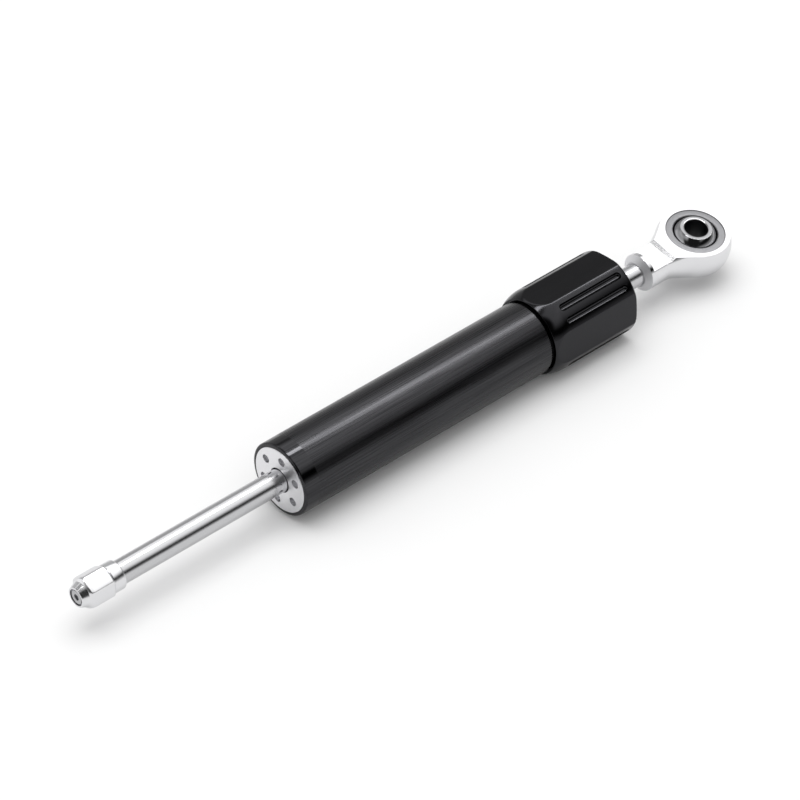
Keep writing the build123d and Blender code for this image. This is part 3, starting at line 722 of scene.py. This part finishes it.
def netPiece(name, field, low, high, placed, sizes):
    # one point in each grid cell that the surface crosses, put where the surface's tangent planes
    # in that cell meet, so a crease stays crisp; hold keeps it near their middle where they are alike
    step = sizes["step"]
    nudge = sizes["nudge"]
    axes = [np.arange(a, b, step) for a, b in zip(low, high)]
    grid = np.stack(np.meshgrid(*axes, indexing="ij"), -1)
    inside = field(grid) < 0
    filled = np.zeros([n - 1 for n in inside.shape], int)
    for shift in np.ndindex(2, 2, 2):
        filled += inside[tuple(slice(s, s + n) for s, n in zip(shift, filled.shape))]
    crossed = (filled > 0) & (filled < 8)
    index = np.full(filled.shape, -1)
    index[crossed] = np.arange(crossed.sum())
    planes = np.zeros((crossed.sum(), 3, 3))
    offsets = np.zeros((crossed.sum(), 3))
    middles = np.zeros((crossed.sum(), 3))
    hits = np.zeros(crossed.sum())
    quads = []
    for axis in range(3):
        near = [slice(1, -1)] * 3
        far = [slice(1, -1)] * 3
        near[axis], far[axis] = slice(0, -1), slice(1, None)
        ends = np.argwhere(inside[tuple(near)] != inside[tuple(far)])
        across = [other for other in range(3) if other != axis]
        ends[:, across] += 1
        start = grid[tuple(ends.T)]
        finish = start.copy()
        finish[:, axis] += step
        startInside = inside[tuple(ends.T)]
        for halving in range(sizes["halvings"]):
            middle = (start + finish) / 2
            same = ((field(middle) < 0) == startInside)[:, None]
            start, finish = np.where(same, middle, start), np.where(same, finish, middle)
        hit = (start + finish) / 2
        normal = np.zeros_like(hit)
        for way in range(3):
            offset = np.zeros(3)
            offset[way] = nudge
            normal[:, way] = field(hit + offset) - field(hit - offset)
        normal /= np.linalg.norm(normal, axis=1)[:, None]
        quad = []
        for back in ((1, 1), (0, 1), (0, 0), (1, 0)):
            cell = ends.copy()
            cell[:, across] -= back
            at = index[tuple(cell.T)]
            np.add.at(planes, at, normal[:, :, None] * normal[:, None, :])
            np.add.at(offsets, at, normal * (normal * hit).sum(1)[:, None])
            np.add.at(middles, at, hit)
            np.add.at(hits, at, 1)
            quad.append(at)
        quads += np.array(quad).T.tolist()
    middles /= hits[:, None]
    rest = offsets - np.einsum("nij,nj->ni", planes, middles)
    held = planes + sizes["hold"] * np.eye(3)
    points = middles + np.linalg.solve(held, rest[:, :, None])[:, :, 0]
    points = np.clip(points, middles - step, middles + step)
    return makePiece(name, points, quads, placed, sizes["crispFrom"])


def buildRodEnd(sizes, net):
    turned = Matrix.Rotation(math.radians(sizes["eyeTurn"]), 4, "X")
    placed = Matrix.Translation((frontOf("rod_end_body") * mm, 0, 0)) @ turned
    margin = net["marginSteps"] * net["step"]
    side = sizes["headRadius"] + margin
    low = (-margin, -side, -sizes["shankRadius"] - margin)
    high = (sizes["eyeReach"] + side, side, sizes["shankRadius"] + margin)
    piece = netPiece("rodEndForging", rodEndField(sizes), low, high, placed, net)
    dressPiece(piece, "rod", "rod_end_body", finishes["plated_steel"])
    # the cone at the shank's front is turned, and duller
    piece.data.materials.append(finishes["turnedSteel"])
    coneEnd = (frontOf("rod_end_body") + sizes["frontEdge"]) * mm
    for polygon in piece.data.polygons:
        polygon.material_index = int(polygon.center.x < coneEnd)


buildRodEnd(rodEndSizes, netSizes)
print("rod end: built")


# Race and ball, turned about the eye's own axis

bearingSizes = {
    "raceRadius": 12.7, "raceHalf": 5.9, "raceRound": 0.2, "dishRadius": 9.95, "dishDepth": 0.3,
    "lipRadius": 9.6, "lipRound": 0.05, "runningGap": 0.05,
    "ballRadius": 10.6, "ballHalf": 8.1, "faceRound": 0.25, "boreRadius": 5.0, "boreRound": 0.55,
    "raceShade": 0.02, "boreShade": 0.1, "sides": 160, "arcSteps": 20,
}


def paintShadeInside(piece, seat, radius):
    # painted shade: a dark steel on every face whose middle is nearer than radius to the eye's axis,
    # for the shade inside the bore
    piece.data.materials.append(finishes["paintedShadeBore"])
    home = seat.inverted()
    for polygon in piece.data.polygons:
        inEye = home @ polygon.center
        polygon.material_index = int(math.hypot(inEye.y, inEye.z) < radius * mm)


def buildBearing(sizes, eye):
    seat = Matrix.Translation(((frontOf("rod_end_body") + eye["eyeReach"]) * mm, 0, 0))
    seat = seat @ Matrix.Rotation(math.radians(eye["eyeTurn"]), 4, "X")
    seat = seat @ Matrix.Rotation(-math.pi / 2, 4, "Y")
    bowl = sizes["ballRadius"] + sizes["runningGap"]
    lip = math.sqrt(bowl ** 2 - sizes["lipRadius"] ** 2)
    dishFloor = sizes["raceHalf"] - sizes["dishDepth"]
    bowlArc = []
    for step in range(1, sizes["arcSteps"]):
        z = lip - 2 * lip * step / sizes["arcSteps"]
        bowlArc.append((z, math.sqrt(bowl ** 2 - z ** 2), 0))
    race = turnPiece("raceRing", [
        (-lip, sizes["lipRadius"], 0),
        (-dishFloor, sizes["lipRadius"], sizes["lipRound"]),
        (-sizes["raceHalf"], sizes["dishRadius"], sizes["lipRound"]),
        (-sizes["raceHalf"], sizes["raceRadius"], sizes["raceRound"]),
        (sizes["raceHalf"], sizes["raceRadius"], sizes["raceRound"]),
        (sizes["raceHalf"], sizes["dishRadius"], sizes["lipRound"]),
        (dishFloor, sizes["lipRadius"], sizes["lipRound"]),
        (lip, sizes["lipRadius"], 0),
    ] + bowlArc, sizes["sides"], placed=seat)
    dressPiece(race, "rod", "rod_end_race", finishes["race_steel"])
    # painted shade on the race's lip, for the shade in the gap round the ball
    paintShadeInside(race, seat, sizes["lipRadius"] + sizes["raceShade"])
    ballArc = []
    for step in range(1, sizes["arcSteps"]):
        z = 2 * sizes["ballHalf"] * step / sizes["arcSteps"] - sizes["ballHalf"]
        ballArc.append((z, math.sqrt(sizes["ballRadius"] ** 2 - z ** 2), 0))
    face = math.sqrt(sizes["ballRadius"] ** 2 - sizes["ballHalf"] ** 2)
    ball = turnPiece("pivotBall", [
        (-sizes["ballHalf"], sizes["boreRadius"], sizes["boreRound"]),
        (-sizes["ballHalf"], face, sizes["faceRound"]),
    ] + ballArc + [
        (sizes["ballHalf"], face, sizes["faceRound"]),
        (sizes["ballHalf"], sizes["boreRadius"], sizes["boreRound"]),
    ], sizes["sides"], placed=seat)
    dressPiece(ball, "ball", "rod_end_ball", finishes["ball_chrome"])
    # painted shade in the ball's bore
    paintShadeInside(ball, seat, sizes["boreRadius"] + sizes["boreShade"])


buildBearing(bearingSizes, rodEndSizes)
print("bearing: built")


# Springs, both along the rod: the compensator's, which on the damper closes up as its piston comes on
# but here is wound to its node's length, and the small one of the click stop

springSizes = {
    "floatTurns": 4.5, "floatWire": 2.0, "floatTravel": 5.0,
    "detentTurns": 6.0, "detentWire": 0.22, "endGap": 0.05,
}


def buildSpring(name, node, turns, wire, endGap):
    low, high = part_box(node)
    piece = bpy.data.objects.new(name, bpy.data.meshes.new(name))
    bpy.context.scene.collection.objects.link(piece)
    applyTree(piece, coilSpring, {
        "Turns": turns,
        "Coil Radius": (reachOf(node) - wire / 2) * mm,
        "Coil Length": high.x - low.x - (wire + 2 * endGap) * mm,
        "Wire Radius": wire / 2 * mm,
        "Finish": finishes["spring_steel"],
    })
    start = Vector((low.x + (wire / 2 + endGap) * mm, (low.y + high.y) / 2, (low.z + high.z) / 2))
    piece.data.transform(Matrix.Translation(start) @ Matrix.Rotation(math.pi / 2, 4, "Y"))
    return piece


def buildSprings(sizes):
    piece = buildSpring("compensatorSpring", "float_spring", sizes["floatTurns"],
                        sizes["floatWire"], sizes["endGap"])
    dressPiece(piece, "body", "float_spring", finishes["spring_steel"])
    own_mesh(piece)
    piece = buildSpring("clickSpring", "detent_spring", sizes["detentTurns"],
                        sizes["detentWire"], sizes["endGap"])
    dressPiece(piece, "rod", "detent_spring", finishes["spring_steel"])


buildSprings(springSizes)
print("springs: built")


# Camera as it stood for the photograph. The part lay turned a little about its rod.

photoCamera = {
    "azimuth": -42.42,
    "elevation": 39.03,
    "lyingTurn": 3.5,
    "lens": 180.0,
    "sensor": 36.0,
    "distance": 1566.45,  # mm from the gland's face, along the view
    "imageSize": 800.0,
    "glandPixel": (279.35, 480.25),
}


def aimCamera(setup):
    azimuth = math.radians(setup["azimuth"])
    elevation = math.radians(setup["elevation"])
    right = Vector((math.cos(azimuth), math.sin(azimuth), 0))
    level = Vector((math.sin(azimuth), -math.cos(azimuth), 0))
    back = level * math.cos(elevation) + Vector((0, 0, math.sin(elevation)))
    up = back.cross(right)
    focal = setup["imageSize"] * setup["lens"] / setup["sensor"]
    across = (setup["glandPixel"][0] - setup["imageSize"] / 2) / focal
    down = (setup["glandPixel"][1] - setup["imageSize"] / 2) / focal
    offset = (back - across * right + down * up) * setup["distance"] * mm
    lying = Matrix.Rotation(math.radians(setup["lyingTurn"]), 3, "X")
    axes = Matrix([lying @ axis for axis in (right, up, back)]).transposed()
    data = bpy.data.cameras.new("photoCamera")
    data.lens = setup["lens"]
    data.sensor_width = setup["sensor"]
    camera = bpy.data.objects.new("photoCamera", data)
    bpy.context.scene.collection.objects.link(camera)
    glandFace = Vector((frontOf("front_gland") * mm, 0, 0))
    camera.matrix_world = Matrix.Translation(glandFace + lying @ offset) @ axes.to_4x4()
    bpy.context.scene.camera = camera


aimCamera(photoCamera)


# Studio: a pale floor in a white room with darker sides, a narrow bright strip overhead that only
# shows as a highlight, and a broad soft lamp that only lights the floor. Tones run from the horizon
# up, as (height of the heading, brightness). A side has its heading, how far a direction has to
# point that way for the side to begin and to be full, and its tones.

studio = {
    "floorSize": 6.0,
    "floorColour": "#f4f4f4",
    "mirroredFloorColour": "#e2e2e2",
    "backTones": [(0.0, 0.6), (0.12, 0.5), (0.46, 0.5), (0.56, 0.3), (0.62, 0.36), (0.69, 1.0),
                  (0.76, 1.45), (0.83, 1.2), (1.0, 1.2)],
    "sides": [
        # behind the camera: dark low down
        ((-0.65, -0.76, 0), -0.05, 0.25,
         [(0.0, 0.3), (0.05, 0.05), (0.5, 0.04), (0.62, 0.4), (0.75, 1.0), (1.0, 1.2)]),
        # to the camera's right: dark low down, and pale at the floor
        ((0.53, -0.85, 0), 0.5, 0.75,
         [(0.0, 0.5), (0.08, 0.4), (0.18, 0.08), (0.24, 0.01), (0.4, 0.01), (0.5, 0.35),
          (0.58, 0.75), (0.68, 1.05), (0.76, 1.25), (1.0, 1.2)]),
        # to the camera's left: a bright screen
        ((-0.77, 0.64, 0), 0.66, 0.8, [(0.0, 1.0), (0.35, 1.0), (0.5, 0.6), (0.7, 0.9), (1.0, 1.2)]),
        # nearly overhead: a grey patch, which the slope behind the wrench flat mirrors
        ((-0.27, 0.22, 0.94), 0.85, 0.93, [(0.0, 0.3), (1.0, 0.3)]),
    ],
    "photographerHeading": (-0.524, -0.611, 0.594),
    "photographerReach": (0.84, 0.93),
    "photographerTone": 0.02,
    "floorSky": 0.8,
    "stripSize": (2.4, 0.28),
    "stripPlace": (0.55, 0.12, 1.6),
    "stripPower": 16.0,
    "softSize": (1.4, 1.4),
    "softPlace": (0.05, 0.1, 1.4),
    "softPower": 9.5,
}


def addRoomSide(tree, height, tones):
    peak = max(value for level, value in tones)
    ramp = addNode(tree, "ShaderNodeValToRGB", links={"Fac": (height, "Z")})
    stops = ramp.color_ramp.elements
    while len(stops) < len(tones):
        stops.new(0.5)
    for stop, (level, value) in zip(stops, tones):
        stop.position = level
        stop.color = [value / peak] * 3 + [1]
    return addNode(tree, "ShaderNodeBackground", {"Strength": peak}, {"Color": (ramp, "Color")})


def mixByHeading(tree, coords, heading, start, full, under, over):
    facing = addNode(tree, "ShaderNodeVectorMath", {1: heading}, {0: (coords, "Generated")},
                     operation="DOT_PRODUCT")
    share = addNode(tree, "ShaderNodeMapRange", {"From Min": start, "From Max": full},
                    {"Value": (facing, "Value")}, interpolation_type="SMOOTHSTEP")
    return addNode(tree, "ShaderNodeMixShader", links={0: (share, "Result"), 1: under, 2: over})


def addLamp(name, size, place, power):
    data = bpy.data.lights.new(name, "AREA")
    data.shape = "RECTANGLE"
    data.size, data.size_y = size
    data.energy = power
    lamp = bpy.data.objects.new(name, data)
    lamp.location = place
    bpy.context.scene.collection.objects.link(lamp)
    return lamp


def buildRoom(sizes):
    world = bpy.data.worlds.new("studioRoom")
    bpy.context.scene.world = world
    world.use_nodes = True
    tree = world.node_tree
    tree.nodes.clear()
    coords = addNode(tree, "ShaderNodeTexCoord")
    height = addNode(tree, "ShaderNodeSeparateXYZ", links={"Vector": (coords, "Generated")})
    room = (addRoomSide(tree, height, sizes["backTones"]), "Background")
    for heading, start, full, tones in sizes["sides"]:
        side = (addRoomSide(tree, height, tones), "Background")
        room = (mixByHeading(tree, coords, heading, start, full, room, side), "Shader")
    tone = sizes["photographerTone"]
    dark = (addNode(tree, "ShaderNodeBackground", {"Color": (tone, tone, tone, 1)}), "Background")
    heading = sizes["photographerHeading"]
    room = (mixByHeading(tree, coords, heading, *sizes["photographerReach"], room, dark), "Shader")
    # the floor gets an even sky, and the camera sees plain white
    rays = addNode(tree, "ShaderNodeLightPath")
    plain = {"Color": (1, 1, 1, 1), "Strength": sizes["floorSky"]}
    sky = (addNode(tree, "ShaderNodeBackground", plain), "Background")
    room = (addNode(tree, "ShaderNodeMixShader",
                    links={0: (rays, "Is Diffuse Ray"), 1: room, 2: sky}), "Shader")
    seen = (addNode(tree, "ShaderNodeBackground", {"Color": (1, 1, 1, 1)}), "Background")
    whole = addNode(tree, "ShaderNodeMixShader",
                    links={0: (rays, "Is Camera Ray"), 1: room, 2: seen})
    addNode(tree, "ShaderNodeOutputWorld", links={"Surface": (whole, "Shader")})


def buildFloor(sizes):
    half = sizes["floorSize"] / 2
    low = cadBox[0][2]
    mesh = bpy.data.meshes.new("studioFloor")
    corners = [(-half, -half, low), (half, -half, low), (half, half, low), (-half, half, low)]
    mesh.from_pydata(corners, [], [(0, 1, 2, 3)])
    floor = bpy.data.objects.new("studioFloor", mesh)
    bpy.context.scene.collection.objects.link(floor)
    # matt painted board, a little greyer in reflections than to the eye
    material, tree, shader = startMaterial("paleStudioFloor", sizes["floorColour"],
                                           metallic=0.0, roughness=0.9)
    rays = addNode(tree, "ShaderNodeLightPath")
    tone = addNode(tree, "ShaderNodeMix", links={0: (rays, "Is Camera Ray")}, data_type="RGBA")
    # inputs 6 and 7 and output 2 are the colours among this node's sockets
    tone.inputs[6].default_value = linearColour(sizes["mirroredFloorColour"])
    tone.inputs[7].default_value = linearColour(sizes["floorColour"])
    tree.links.new(tone.outputs[2], shader.inputs["Base Color"])
    floor.data.materials.append(material)


def buildLamps(sizes):
    strip = addLamp("overheadStrip", sizes["stripSize"], sizes["stripPlace"], sizes["stripPower"])
    strip.visible_diffuse = False
    soft = addLamp("softLamp", sizes["softSize"], sizes["softPlace"], sizes["softPower"])
    soft.visible_glossy = False


buildRoom(studio)
buildFloor(studio)
buildLamps(studio)
bpy.context.scene.view_settings.view_transform = "Standard"
print("studio: built")
